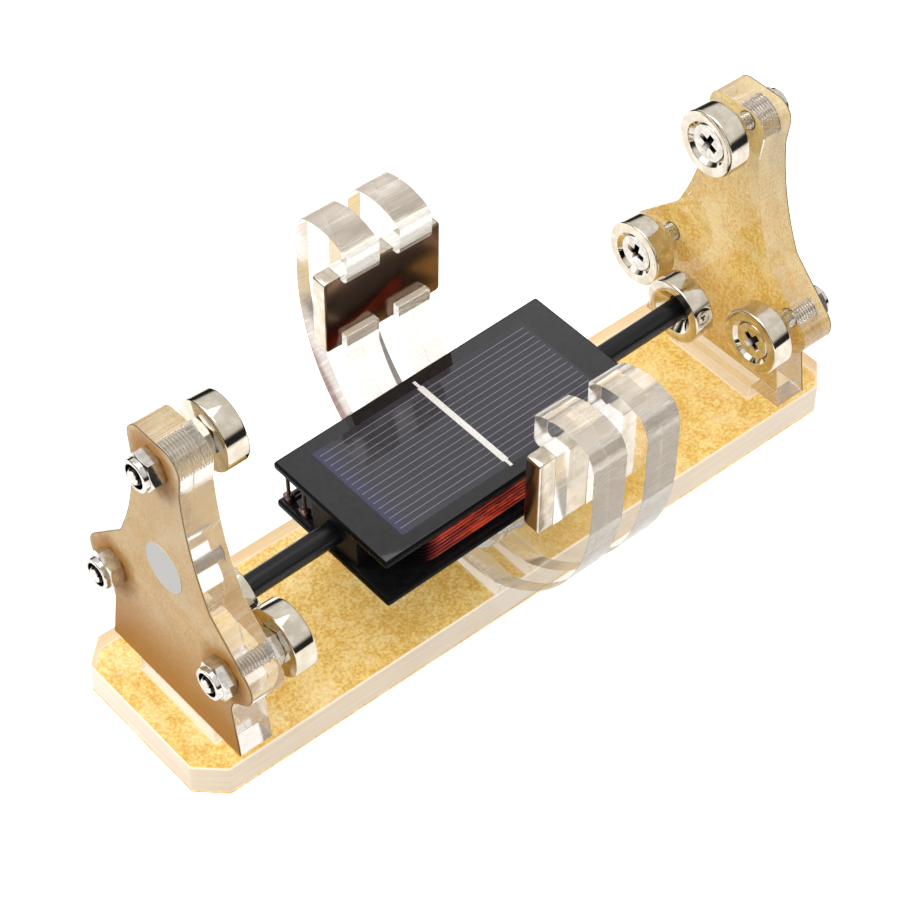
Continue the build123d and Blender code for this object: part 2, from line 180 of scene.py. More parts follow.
class Paint:
    """A material or world with its node tree, built one node at a time."""

    def __init__(self, owner):
        self.owner = owner
        owner.use_nodes = True
        self.tree = owner.node_tree
        self.tree.nodes.clear()

    def fill(self, socket, value):
        """Links a Value to an input, or sets the input to a constant."""
        if isinstance(value, Value):
            self.tree.links.new(value.socket, socket)
        else:
            socket.default_value = value

    def add(self, kind, settings=None, values=None, out=0):
        """Adds a node, with its settings and its inputs, and gives one of its outputs."""
        node = self.tree.nodes.new(kind)
        for name, setting in (settings or {}).items():
            setattr(node, name, setting)
        pairs = values.items() if isinstance(values, dict) else enumerate(values or [])
        for key, value in pairs:
            self.fill(node.inputs[key], value)
        return Value(self, node.outputs[out])

    def place(self, scale=(1, 1, 1), turn=(0, 0, 0)):
        """Object coordinates, scaled and turned."""
        coordinates = self.add("ShaderNodeTexCoord", out="Object")
        values = {"Vector": coordinates, "Scale": scale, "Rotation": turn}
        return self.add("ShaderNodeMapping", None, values)

    def coordinate(self, axis, vector=None):
        """One coordinate of a vector, or else of the object coordinates."""
        return self.add("ShaderNodeSeparateXYZ", None, [vector or self.place()], out=axis)

    def normal(self, axis):
        """One coordinate of the surface's normal."""
        return self.coordinate(axis, self.add("ShaderNodeTexCoord", out="Normal"))

    def mark(self, name):
        """The number of this name that the mesh carries."""
        return self.add("ShaderNodeAttribute", {"attribute_name": name}, out="Fac")

    def ray(self, kind):
        """1 for light rays of this kind, and 0 for others."""
        return self.add("ShaderNodeLightPath", out=f"Is {kind} Ray")

    def noise(self, vector, scale, detail=3.0, roughness=0.55, distortion=0.0):
        values = {
            "Vector": vector, "Scale": scale, "Detail": detail,
            "Roughness": roughness, "Distortion": distortion,
        }
        return self.add("ShaderNodeTexNoise", {"noise_dimensions": "3D"}, values)

    def mix(self, factor, first, second):
        """A colour between two colours."""
        node = self.tree.nodes.new("ShaderNodeMix")
        node.data_type = "RGBA"
        sockets = {s.identifier: s for s in node.inputs}
        self.fill(sockets["Factor_Float"], factor)
        self.fill(sockets["A_Color"], first)
        self.fill(sockets["B_Color"], second)
        return Value(self, next(s for s in node.outputs if s.identifier == "Result_Color"))

    def blend(self, factor, first, second):
        """A shader between two shaders."""
        return self.add("ShaderNodeMixShader", None, [factor, first, second])

    def bump(self, height, strength, distance):
        values = {"Strength": strength, "Distance": distance, "Height": height}
        return self.add("ShaderNodeBump", None, values)

    def principled(self, **values):
        """A principled shader, whose inputs are named with _ in place of each space."""
        inputs = {name.replace("_", " "): value for name, value in values.items()}
        return self.add("ShaderNodeBsdfPrincipled", None, inputs)

    def surface(self, shader):
        """Ends the tree with this shader, and gives the material or world."""
        of_world = isinstance(self.owner, bpy.types.World)
        kind = "ShaderNodeOutputWorld" if of_world else "ShaderNodeOutputMaterial"
        output = self.tree.nodes.new(kind)
        self.tree.links.new(shader.socket, output.inputs["Surface"])
        return self.owner


def srgb(red, green, blue):
    """A colour given as 0 to 255 on a screen, as the linear colour that a shader takes."""
    def linear(value):
        value /= 255
        return value / 12.92 if value <= 0.04045 else ((value + 0.055) / 1.055) ** 2.4
    return (linear(red), linear(green), linear(blue), 1.0)


def new_paint(name):
    return Paint(bpy.data.materials.new(name))


# ------------------------------------------------------------------ finishes

def clear_acrylic(name, across_sheet, least_frost, relief, edge_glow, milk, right_shade=CLEAR):
    """Clear acrylic. Its edges are half frosted, with streaks across an upright sheet and faint
    bands along a flat one; their frost gives off a little painted light, and the right side's
    edges can carry painted shade. Light goes straight on at papered faces, and in part at filled
    bores and slots."""
    paint = new_paint(name)
    edge = 1 - paint.normal(across_sheet).size().ramp(0.72, 0.97)
    stretch = {"X": (0.03, 1, 1), "Z": (0.04, 0.04, 1)}[across_sheet]
    loose_stretch = [0.25 if s < 1 else 1 for s in stretch]
    streak = paint.noise(paint.place(scale=stretch), 1600, 3, 0.6)
    ripple = paint.noise(paint.place(scale=loose_stretch), 260, 3, 0.55, 0.8)
    bump = paint.bump((streak * 0.35 + ripple * 0.5) * edge, relief, 0.22 * MM)
    tint = CLEAR
    if right_shade != CLEAR:
        # Painted shade on the right side's edges, less where they face up.
        upward = paint.normal("Z").ramp(0.55, 0.95)
        right_shade_mask = edge * (paint.coordinate("Y") < 0) * (1 - upward * 0.75)
        tint = paint.mix(right_shade_mask, CLEAR, right_shade)
    glass = paint.principled(
        Base_Color=tint, Transmission_Weight=1.0, IOR=1.49,
        Roughness=edge * 0.05 + 0.004, Normal=bump,
    )
    frost = paint.principled(
        Base_Color=paint.mix(streak.ramp(0.3, 0.7), *milk), Roughness=0.35, Normal=bump,
        Emission_Color=milk[1], Emission_Strength=edge_glow,
    )
    uneven = streak.ramp(0.42, 0.72) * 0.14 + ripple.ramp(0.45, 0.75) * 0.12
    frosted = edge * (uneven * (1 - least_frost) + least_frost)
    open_air = paint.add("ShaderNodeBsdfTransparent", None, {"Color": (0.96, 0.96, 0.95, 1)})
    passed = paint.ray("Shadow").most(paint.ray("Diffuse")).most(paint.mark("joined"))
    return paint.surface(paint.blend(passed, paint.blend(frosted, glass, frost), open_air))


def kraft_paper(name, light, dark, fibre, glow, scorched, foot_shade=0.0, nut_shade_centres=()):
    """Kraft masking paper: fine mottling, pale and dark fibres and a scorched rim, with painted
    shade and reflected gold of the base low at the plate's foot, and painted shade round the nuts.
    The side that is stuck down also gives off a little painted light, as paper that is lit through."""
    foot_shade_brown, nut_shade_brown, char = srgb(182, 116, 32), srgb(176, 116, 32), srgb(66, 40, 18)
    base_top, foot_heights, pale_heights = 7.6 * MM, (8 * MM, 36 * MM), (45 * MM, 75 * MM)
    nut_shade_reach, nut_shade_wobble, nut_shade_depth = (4.6 * MM, 9 * MM), 3 * MM, 0.92
    paint = new_paint(name)
    at = paint.place()
    cloud = paint.noise(at, 400, 2, 0.5)
    speckle = paint.noise(at, 1300, 2, 0.6)
    grain = paint.noise(at, 3200, 2, 0.6)
    fibres = paint.noise(paint.place(scale=(1, 0.3, 1), turn=(0, 0, 0.5)), 1500, 2, 0.5, 0.6)
    patch = paint.noise(at, 90, 3, 0.6)
    tone = (cloud * 0.2 + speckle * 0.5 + grain * 0.3).ramp(0.4, 0.6)
    colour = paint.mix(tone, dark, light)
    colour = paint.mix(fibres.ramp(0.58, 0.75) * 0.4, colour, fibre)
    colour = paint.mix(patch.ramp(0.48, 0.66) * 0.4, colour, fibre)
    colour = paint.mix((1 - patch.ramp(0.34, 0.5)) * 0.4, colour, dark)
    height = paint.coordinate("Z", at)
    colour = paint.mix(height.ramp(*pale_heights) * 0.4, colour, fibre)
    # Painted shade and reflected gold of the base, low on the plate just above the base.
    low = (1 - height.ramp(*foot_heights)) * (height > base_top)
    colour = paint.mix(low * foot_shade, colour, foot_shade_brown)
    # Painted shade round each nut, with a wobbly edge.
    flat = paint.place(scale=(0, 1, 1))
    for y, z in nut_shade_centres:
        between = [flat, (0, y, z)]
        away = paint.add("ShaderNodeVectorMath", {"operation": "DISTANCE"}, between, out="Value")
        nut_shade = 1 - (away + (cloud - 0.5) * nut_shade_wobble).ramp(*nut_shade_reach)
        colour = paint.mix(nut_shade * nut_shade_depth, colour, nut_shade_brown)
    ragged = (paint.mark("rim") + (grain - 0.5) * 0.4).ramp(0.45, 1.0)
    colour = paint.mix(ragged * scorched, colour, char)
    bump = paint.bump(grain + speckle * 0.5, 0.25, 0.05 * MM)
    values = dict(Base_Color=colour, Roughness=0.52, Normal=bump, Specular_IOR_Level=0.25)
    if glow:
        values.update(Emission_Color=colour, Emission_Strength=glow)
    return paint.surface(paint.principled(**values))


def nickel(name, gloss, dark_reflection=None):
    """Nickel plate with a faint cloudiness. A painted dark reflection goes on the faces turned to
    the rotor, whose reflections then lean a little upwards, and on the right block's near end."""
    paint = new_paint(name)
    haze = paint.noise(paint.place(), 350, 3)
    colour = paint.mix(haze.ramp(0.35, 0.7), srgb(198, 188, 170), srgb(220, 211, 196))
    values = dict(Metallic=1.0, Roughness=haze * 0.06 + gloss)
    if dark_reflection:
        sideways, where = paint.normal("Y"), paint.coordinate("Y")
        # Painted dark reflection: on faces turned to the rotor, and on the right block's near end.
        inward_reflection = (sideways * where < 0) * sideways.size().ramp(0.8, 0.99)
        end_reflection = (where < 0) * (0 - paint.normal("X")).ramp(0.6, 0.95)
        colour = paint.mix(inward_reflection.most(end_reflection), colour, dark_reflection)
        values["Normal"] = paint.bump(paint.coordinate("Z") * inward_reflection * -BLOCK_LEAN, 1.0, 1.0)
    return paint.surface(paint.principled(Base_Color=colour, **values))


def screw_steel():
    """Plated screws and nuts. The 'shade' mark darkens the cross recess, the thread's grooves
    and the gap inside a lock nut's collar."""
    paint = new_paint("screw_steel")
    haze = paint.noise(paint.place(), 900, 3)
    colour = paint.mix(haze.ramp(0.3, 0.7), srgb(190, 184, 176), srgb(220, 215, 207))
    colour = paint.mix(paint.mark("shade").ramp(0.1, 0.7), colour, srgb(34, 30, 28))
    roughness = haze * 0.08 + 0.07
    return paint.surface(paint.principled(Base_Color=colour, Metallic=1.0, Roughness=roughness))


def black_rod():
    """Black satin rod with faint lengthwise grain."""
    paint = new_paint("black_rod")
    grain = paint.noise(paint.place(scale=(0.03, 1, 1)), 1800, 3)
    colour = paint.mix(grain.ramp(0.3, 0.7), srgb(8, 8, 9), srgb(20, 20, 22))
    bump = paint.bump(grain, 0.2, 0.04 * MM)
    values = dict(Base_Color=colour, Roughness=grain * 0.12 + 0.24, IOR=1.36, Normal=bump)
    return paint.surface(paint.principled(**values))


def black_plastic():
    paint = new_paint("black_plastic")
    grain = paint.noise(paint.place(), 1200, 3)
    colour = paint.mix(grain, srgb(9, 9, 10), srgb(18, 18, 19))
    bump = paint.bump(grain, 0.3, 0.05 * MM)
    values = dict(Base_Color=colour, Roughness=grain * 0.2 + 0.45, IOR=1.2, Normal=bump)
    return paint.surface(paint.principled(**values))


def resin_swell(paint):
    """The poured resin's slight lean and unevenness."""
    swell = paint.noise(paint.place(), 28, 2)
    return paint.bump(swell * (0.06 * MM) - paint.coordinate("Y") * RESIN_LEAN, 1.0, 1.0)


def under_resin(paint, **values):
    """The principled shader of what the panels' clear resin covers."""
    return paint.principled(IOR=1.53, Normal=resin_swell(paint), **values)


def panel_resin():
    """Black board under clear, slightly swelling resin; the board's cut edges are matt."""
    paint = new_paint("panel_resin")
    grain = paint.noise(paint.place(), 900, 2)
    colour = paint.mix(grain.ramp(0.3, 0.75), srgb(18, 18, 19), srgb(30, 30, 32))
    resin = under_resin(paint, Base_Color=colour, Roughness=0.05)
    cut = paint.principled(Base_Color=srgb(8, 8, 9), Roughness=0.45, IOR=1.15)
    sheer = 1 - paint.normal("Z").size().ramp(0.93, 0.995)
    return paint.surface(paint.blend(sheer, resin, cut))


def silicon():
    """Charcoal silicon under resin, faintly violet, bluer towards the cell's near end."""
    paint = new_paint("silicon_cell")
    near_end, blue_reach = (PANEL_X - CELL_LENGTH / 2) * MM, 5 * MM
    cloud = paint.noise(paint.place(), 70, 3)
    grain = paint.noise(paint.place(), 1600, 2)
    tone = (cloud * 0.6 + grain * 0.4).ramp(0.3, 0.7)
    colour = paint.mix(tone, srgb(38, 37, 43), srgb(52, 50, 57))
    blue = 1 - paint.coordinate("X").ramp(near_end, near_end + blue_reach)
    colour = paint.mix(blue * 0.7, colour, srgb(50, 50, 84))
    return paint.surface(under_resin(paint, Base_Color=colour, Roughness=0.05))


def silver_print(name, colour, roughness):
    """Printed silver lines and the tinned ribbon, under the panels' resin."""
    paint = new_paint(name)
    grain = paint.noise(paint.place(), 2500, 2)
    dimmer = tuple(c * 0.8 for c in colour[:3]) + (1,)
    shade = paint.mix(grain.ramp(0.3, 0.7), dimmer, colour)
    return paint.surface(under_resin(paint, Base_Color=shade, Roughness=roughness, Metallic=0.2))


def enamel():
    """Red-orange enamelled copper wire, its near turns darkened with painted shadow."""
    paint = new_paint("enamelled_wire")
    near_end = (PANEL_X - WINDING_X) * MM
    along = paint.noise(paint.place(scale=(0.25, 0.25, 1)), 420, 3)
    colour = paint.mix(along.ramp(0.35, 0.65), srgb(150, 20, 6), srgb(246, 84, 34))
    # Painted shadow on the near turns, fading out along the winding.
    bright = paint.coordinate("X").ramp(near_end + 2.5 * MM, near_end + 7 * MM)
    wire = paint.principled(
        Base_Color=colour, Metallic=0.3, Roughness=along * 0.15 + 0.2, Coat_Weight=bright * 0.25,
    )
    painted_shadow = paint.principled(Base_Color=srgb(12, 8, 8), Roughness=0.6, IOR=1.1)
    return paint.surface(paint.blend(bright, painted_shadow, wire))


def solder():
    paint = new_paint("solder")
    grain = paint.noise(paint.place(), 900, 3)
    colour = paint.mix(grain.ramp(0.4, 0.62), srgb(52, 46, 44), srgb(150, 122, 114))
    values = dict(Metallic=0.9, Roughness=0.35, Normal=paint.bump(grain, 0.3, 0.1 * MM))
    return paint.surface(paint.principled(Base_Color=colour, **values))


def link_insulation():
    paint = new_paint("link_insulation")
    grain = paint.noise(paint.place(), 800, 2)
    colour = paint.mix(grain, srgb(34, 22, 20), srgb(62, 40, 34))
    return paint.surface(paint.principled(Base_Color=colour, Roughness=0.4))


def sticker_paper():
    paint = new_paint("sticker_paper")
    grain = paint.noise(paint.place(), 1600, 3)
    colour = paint.mix(grain, srgb(222, 220, 216), srgb(234, 233, 229))
    bump = paint.bump(grain, 0.15, 0.03 * MM)
    return paint.surface(paint.principled(Base_Color=colour, Roughness=0.5, Normal=bump))


# ------------------------------------------------------------------ meshes

def add_piece(name, mesh, material, body, replaced=(), sharp=SHARP):
    """Cleans a mesh, in metres, and puts it in the scene as one piece that rides on a body."""
    bm = bmesh.new()
    bm.from_mesh(mesh)
    bmesh.ops.remove_doubles(bm, verts=bm.verts, dist=1e-7)
    bmesh.ops.recalc_face_normals(bm, faces=bm.faces)
    bm.to_mesh(mesh)
    bm.free()
    place_piece(name, mesh, [material], body, replaced, sharp)


def place_piece(name, mesh, materials, body, replaced=(), sharp=SHARP):
    """Puts a clean mesh in the scene, with these materials in place of any that it has."""
    for polygon in mesh.polygons:
        polygon.use_smooth = True
    mesh.set_sharp_from_angle(angle=radians(sharp))
    if mesh.materials:
        mesh.materials.clear()
    for each in materials:
        mesh.materials.append(each)
    obj = linked(name, mesh)
    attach(obj, body)
    if replaced:
        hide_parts(*replaced)


def mesh_of(vertices, faces):
    """A mesh from vertices in millimetres."""
    mesh = bpy.data.meshes.new("mesh")
    mesh.from_pydata([tuple(c * MM for c in v) for v in vertices], [], faces)
    mesh.update()
    return mesh


def mesh_from(bm, name):
    """Turns a bmesh, which ends here, into a mesh."""
    mesh = bpy.data.meshes.new(name)
    bm.to_mesh(mesh)
    bm.free()
    return mesh


def join_meshes(parts):
    vertices, faces = [], []
    for more_vertices, more_faces in parts:
        start = len(vertices)
        vertices += more_vertices
        faces += [tuple(i + start for i in face) for face in more_faces]
    return vertices, faces


def moved(shape, matrix):
    """A shape's vertices, in millimetres, through a matrix in metres."""
    vertices, faces = shape
    turn = matrix.to_3x3()
    shift = matrix.translation / MM
    return [tuple(turn @ Vector(v) + shift) for v in vertices], faces


def ring_faces(steps, count):
    """Faces between outlines of so many points that follow each other round and close up."""
    faces = []
    for i in range(steps):
        a, b = i * count, (i + 1) % steps * count
        for k in range(count):
            m = (k + 1) % count
            faces.append((a + k, b + k, b + m, a + m))
    return faces


def column_faces(rows, count):
    """Faces between rings of so many points that stand on each other, with both ends capped."""
    faces = []
    for i in range(rows - 1):
        a, b = i * count, (i + 1) * count
        for k in range(count):
            m = (k + 1) % count
            faces.append((a + k, a + m, b + m, b + k))
    last = (rows - 1) * count
    return faces + [tuple(range(count))[::-1], tuple(last + k for k in range(count))]


def lathe(profile, steps):
    """A closed profile of (radius, height) turned about Z."""
    vertices = [
        (r * cos(2 * pi * i / steps), r * sin(2 * pi * i / steps), z)
        for i in range(steps) for r, z in profile
    ]
    return vertices, ring_faces(steps, len(profile))


def rounded(corners):
    """A closed profile whose corners (radius, height, rounding) are drawn as short arcs."""
    points = []
    steps, count = 4, len(corners)
    for i, (r, z, rounding) in enumerate(corners):
        here = Vector((r, z))
        if not rounding:
            points.append((r, z))
            continue
        before = (Vector(corners[i - 1][:2]) - here).normalized() * rounding
        after = (Vector(corners[(i + 1) % count][:2]) - here).normalized() * rounding
        for step in range(steps + 1):
            t = step / steps
            point = here + before * (1 - t) ** 2 + after * t**2
            points.append((point.x, point.y))
    return points


def tube(points, radius):
    """A round tube along points, capped at its ends."""
    vertices = []
    side, sides = None, 10
    for i, point in enumerate(points):
        ahead = (points[min(i + 1, len(points) - 1)] - points[max(i - 1, 0)]).normalized()
        if side is None:
            side = ahead.orthogonal().normalized()
        side = (side - ahead * side.dot(ahead)).normalized()
        other = ahead.cross(side)
        for k in range(sides):
            angle = 2 * pi * k / sides
            vertices.append(tuple(point + (side * cos(angle) + other * sin(angle)) * radius))
    return vertices, column_faces(len(points), sides)


def ease(bm, edges, offset, segments, clamped=False):
    """Rounds these edges of a bmesh."""
    bmesh.ops.bevel(
        bm, geom=edges, offset=offset, segments=segments, profile=0.5, affect="EDGES",
        clamp_overlap=clamped,
    )


def box_between(low, high):
    """A bmesh of a plain box between two corners."""
    bm = bmesh.new()
    size = [b - a for a, b in zip(low, high)]
    middle = [(a + b) / 2 for a, b in zip(low, high)]
    matrix = Matrix.Translation(middle) @ Matrix.Diagonal((*size, 1))
    bmesh.ops.create_cube(bm, size=1, matrix=matrix)
    return bm


def slab(low, high, edge, steps=3):
    """A box between two corners with rounded edges."""
    bm = box_between(low, high)
    ease(bm, bm.edges, edge, steps)
    vertices = [tuple(v.co) for v in bm.verts]
    bm.verts.index_update()
    faces = [tuple(v.index for v in f.verts) for f in bm.faces]
    bm.free()
    return vertices, faces


def merged_copy(node):
    """A CAD node's mesh with its triangles joined into whole flat faces."""
    bm = bmesh.new()
    bm.from_mesh(nodes[node].data)
    bmesh.ops.remove_doubles(bm, verts=bm.verts, dist=2e-6)
    flat = radians(0.4)
    bmesh.ops.dissolve_limit(bm, angle_limit=flat, verts=bm.verts, edges=bm.edges)
    bm.normal_update()
    return bm


def from_node(node, name, material, edge=0.0, segments=1, bores=(), bonded=None):
    """A finished copy of a CAD node, with its hard edges eased, and with a mark on the walls of its
    bores and slots and on the face, with this normal, that has paper stuck on it."""
    bore_reach, rim_width = THREAD_DIAMETER * 0.65 * MM, MM
    bm = merged_copy(node)
    if edge:
        inner = [e for e in bm.edges if len(e.link_faces) == 2]
        hard = [e for e in inner if e.calc_face_angle() > radians(SHARP)]
        ease(bm, hard, edge * MM, segments, clamped=True)
    joined = bm.faces.layers.float.new("joined")
    bm.normal_update()
    rim = [max(v.co[i] for v in bm.verts) - rim_width for i in range(2)]
    for f in bm.faces:
        in_bore = any(
            all(hypot(v.co.y - y, v.co.z - z) < bore_reach for v in f.verts) for y, z in bores
        )
        middle = f.calc_center_median()
        square = max(abs(f.normal.x), abs(f.normal.y)) > 0.99
        in_slot = bonded == DOWN and square and all(abs(middle[i]) < rim[i] for i in range(2))
        if bonded and f.normal.dot(Vector(bonded)) > 0.995:
            f[joined] = 1.0
        elif in_bore or in_slot:
            f[joined] = BORE_CLEARNESS if in_bore else SLOT_CLEARNESS
    body = nodes[node]["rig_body"]
    place_piece(name, mesh_from(bm, name), [material], body, [node])


# ------------------------------------------------------------------ repeats by geometry nodes

def repeat_tree():
    """Geometry nodes that set one template on every point, turned by the point's 'turn'."""
    tree = bpy.data.node_groups.new("repeat_template", "GeometryNodeTree")
    for name, way, kind in (
        ("Points", "INPUT", "Geometry"), ("Template", "INPUT", "Object"),
        ("Finish", "INPUT", "Material"), ("Pieces", "OUTPUT", "Geometry"),
    ):
        tree.interface.new_socket(name, in_out=way, socket_type=f"NodeSocket{kind}")
    make = tree.nodes.new
    link = tree.links.new
    given, result = make("NodeGroupInput"), make("NodeGroupOutput")
    template, turn = make("GeometryNodeObjectInfo"), make("GeometryNodeInputNamedAttribute")
    turn.data_type = "FLOAT_VECTOR"
    turn.inputs["Name"].default_value = "turn"
    to_turn, place = make("FunctionNodeEulerToRotation"), make("GeometryNodeInstanceOnPoints")
    whole, finish = make("GeometryNodeRealizeInstances"), make("GeometryNodeSetMaterial")
    link(given.outputs["Points"], place.inputs["Points"])
    link(given.outputs["Template"], template.inputs["Object"])
    link(template.outputs["Geometry"], place.inputs["Instance"])
    link(turn.outputs["Attribute"], to_turn.inputs["Euler"])
    link(to_turn.outputs["Rotation"], place.inputs["Rotation"])
    link(place.outputs["Instances"], whole.inputs["Geometry"])
    link(whole.outputs["Geometry"], finish.inputs["Geometry"])
    link(given.outputs["Finish"], finish.inputs["Material"])
    link(finish.outputs["Geometry"], result.inputs["Pieces"])
    return tree


def evaluated_mesh(obj):
    """A new mesh of what an object's modifiers make."""
    bpy.context.view_layer.update()
    done = obj.evaluated_get(bpy.context.evaluated_depsgraph_get())
    return bpy.data.meshes.new_from_object(done)


def repeated(tree, template, places, material, shades=None):
    """One mesh with the template, a shape in millimetres, at each matrix in metres."""
    seed = linked("template", mesh_of(*template))
    if shades:
        marks = seed.data.attributes.new("shade", "FLOAT", "POINT")
        for item, value in zip(marks.data, shades):
            item.value = value
    points = bpy.data.meshes.new("points")
    points.from_pydata([tuple(m.translation) for m in places], [], [])
    turns = points.attributes.new("turn", "FLOAT_VECTOR", "POINT")
    for item, matrix in zip(turns.data, places):
        item.vector = matrix.to_euler("XYZ")
    holder = linked("holder", points)
    modifier = holder.modifiers.new("repeat", "NODES")
    modifier.node_group = tree
    given = [item for item in tree.interface.items_tree if item.in_out == "INPUT"]
    names = {item.name: item.identifier for item in given}
    modifier[names["Template"]] = seed
    modifier[names["Finish"]] = material
    mesh = evaluated_mesh(holder)
    for obj in (holder, seed):
        bpy.data.objects.remove(obj)
    return mesh


# ------------------------------------------------------------------ magnets, screws and nuts

def ring_shape(bore):
    """A ring magnet with its countersink, from its front face up, round a bore of this size."""
    front_round, back_round = 0.12, 0.15
    outer, mouth = RING_DIAMETER / 2, COUNTERSINK_MOUTH / 2
    depth = mouth - bore / 2
    corners = [
        (bore / 2, depth, 0.0), (mouth, 0, front_round), (outer, 0, RING_EDGE),
        (outer, RING_THICKNESS, RING_EDGE), (bore / 2, RING_THICKNESS, back_round),
    ]
    return lathe(rounded(corners), 96)


def screw_shape():
    """A countersunk screw without its cross: rim, cone and a rolled thread."""
    steps, rows_per_turn, flank = 36, 6, 0.8
    rim_round, rim_inset, run_out = 0.08, 0.1, 0.6
    end_step, end_slope = 0.15, 0.7
    head, shank = HEAD_DIAMETER / 2, THREAD_DIAMETER / 2
    cone_end = HEAD_RECESS + HEAD_RIM + head - shank
    smooth_end = cone_end + run_out
    threaded = SCREW_TIP - smooth_end
    root = shank - THREAD_DEPTH
    heights = [HEAD_RECESS, HEAD_RECESS + rim_round, HEAD_RECESS + HEAD_RIM, cone_end, smooth_end]
    rows = ceil(threaded / THREAD_PITCH * rows_per_turn)
    heights += [smooth_end + threaded * (i + 1) / rows for i in range(rows)]
    vertices = []
    for row, z in enumerate(heights):
        for k in range(steps):
            turn = k / steps
            if row == 0:
                radius = head - rim_inset
            elif row <= 2:
                radius = head
            elif row <= 4:
                radius = shank
            elif SCREW_TIP - z < END_CHAMFER:
                radius = shank - end_step - (END_CHAMFER - (SCREW_TIP - z)) * end_slope
            else:
                phase = (z / THREAD_PITCH - turn) % 1.0
                radius = root + (shank - root) * (1 - abs(2 * phase - 1)) ** flank
            vertices.append((radius * cos(2 * pi * turn), radius * sin(2 * pi * turn), z))
    return vertices, column_faces(len(heights), steps)


def cross_cutter():
    """The cross recess's tapered shape, above and into the head's face."""
    outline = ((-1, -1), (1, -1), (1, 1), (-1, 1))
    levels = ((-0.5, 5.2, 1.6), (0.0, 4.8, 1.4), (1.75, 1.9, 1.0))  # depth, length, width
    parts = []
    for angle in (0, 90):
        turn = Matrix.Rotation(radians(angle), 3, "Z")
        vertices = [
            tuple(turn @ Vector((sx * length / 2, sy * width / 2, depth + HEAD_RECESS)))
            for depth, length, width in levels for sx, sy in outline
        ]
        parts.append((vertices, column_faces(len(levels), len(outline))))
    return parts


def screw_with_cross():
    """The screw with its recess cut, as vertices and faces."""
    made = linked("screw", mesh_of(*screw_shape()))
    cutters = [linked("cutter", mesh_of(*shape)) for shape in cross_cutter()]
    for cutter in cutters:
        modifier = made.modifiers.new("cross", "BOOLEAN")
        modifier.operation, modifier.solver, modifier.object = "DIFFERENCE", "EXACT", cutter
    mesh = evaluated_mesh(made)
    vertices = [tuple(c / MM for c in v.co) for v in mesh.vertices]
    faces = [tuple(polygon.vertices) for polygon in mesh.polygons]
    for obj in (made, *cutters):
        bpy.data.objects.remove(obj)
    return vertices, faces


def shade_of(x, y, z):
    """How dark a point of the screw is: in the cross, in the collar and down in the thread."""
    face, floor, cross_reach = HEAD_RECESS + 0.05, HEAD_RECESS + 1.9, 2.45
    collar_low, collar_high, thread_tone = SCREW_TIP - 1.7, SCREW_TIP - 0.2, 0.62
    from_axis = hypot(x, y)
    if face < z < floor and from_axis < cross_reach or collar_low < z < collar_high:
        return 1.0
    sunk = THREAD_DIAMETER / 2 - from_axis
    in_thread = THREAD_START < z < SCREW_TIP - END_CHAMFER
    return max(0.0, thread_tone * sunk / THREAD_DEPTH) if in_thread else 0.0


def collar_shape():
    """The round collar on a lock nut's outer face, open round the screw's end."""
    overlap, gap, outer_round, inner_round = 0.1, 0.5, 0.4, 0.15
    low, high = NUT_HEIGHT - overlap, NUT_HEIGHT + COLLAR_HEIGHT
    outer, inner = COLLAR_DIAMETER / 2, THREAD_DIAMETER / 2 + gap
    corners = [
        (outer, low, 0), (outer, high, outer_round), (inner, high, inner_round), (inner, low, 0),
    ]
    return lathe(rounded(corners), 48)


def nut_shape():
    """A hexagon nut with chamfered corners and an eased bore."""
    steps, play, chamfer = 96, 0.02, 0.55
    least_drop, drop_slope = 0.02, 0.577
    flat, bore = NUT_FLATS / 2, THREAD_DIAMETER / 2 + play
    face_radius, mouth = flat * 0.97, bore + chamfer * 0.8
    vertices = []
    for i in range(steps):
        angle = 2 * pi * i / steps
        within = (angle % (pi / 3)) - pi / 6
        corner = flat / cos(within)
        drop = max(least_drop, (corner - face_radius) * drop_slope)
        ring = [
            (bore, chamfer), (mouth, 0.0), (face_radius, 0.0), (corner, drop),
            (corner, NUT_HEIGHT - drop), (face_radius, NUT_HEIGHT),
            (mouth, NUT_HEIGHT), (bore, NUT_HEIGHT - chamfer),
        ]
        vertices += [(r * cos(angle), r * sin(angle), z) for r, z in ring]
    return vertices, ring_faces(steps, len(ring))


def stack_places(end, turns):
    """Where each screw stack's origin is: the front face of its ring magnet, axis outwards."""
    side = -1 if end == "near" else 1
    found = []
    for place, turn in zip(PLACES, turns):
        low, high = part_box(f"{end}_{place}_ring_magnet")
        middle = (low + high) / 2
        front = Vector((low.x if side > 0 else high.x, middle.y, middle.z))
        upright = Matrix.Rotation(side * pi / 2, 4, "Y") @ Matrix.Rotation(radians(turn), 4, "Z")
        found.append(Matrix.Translation(front) @ upright)
    return found


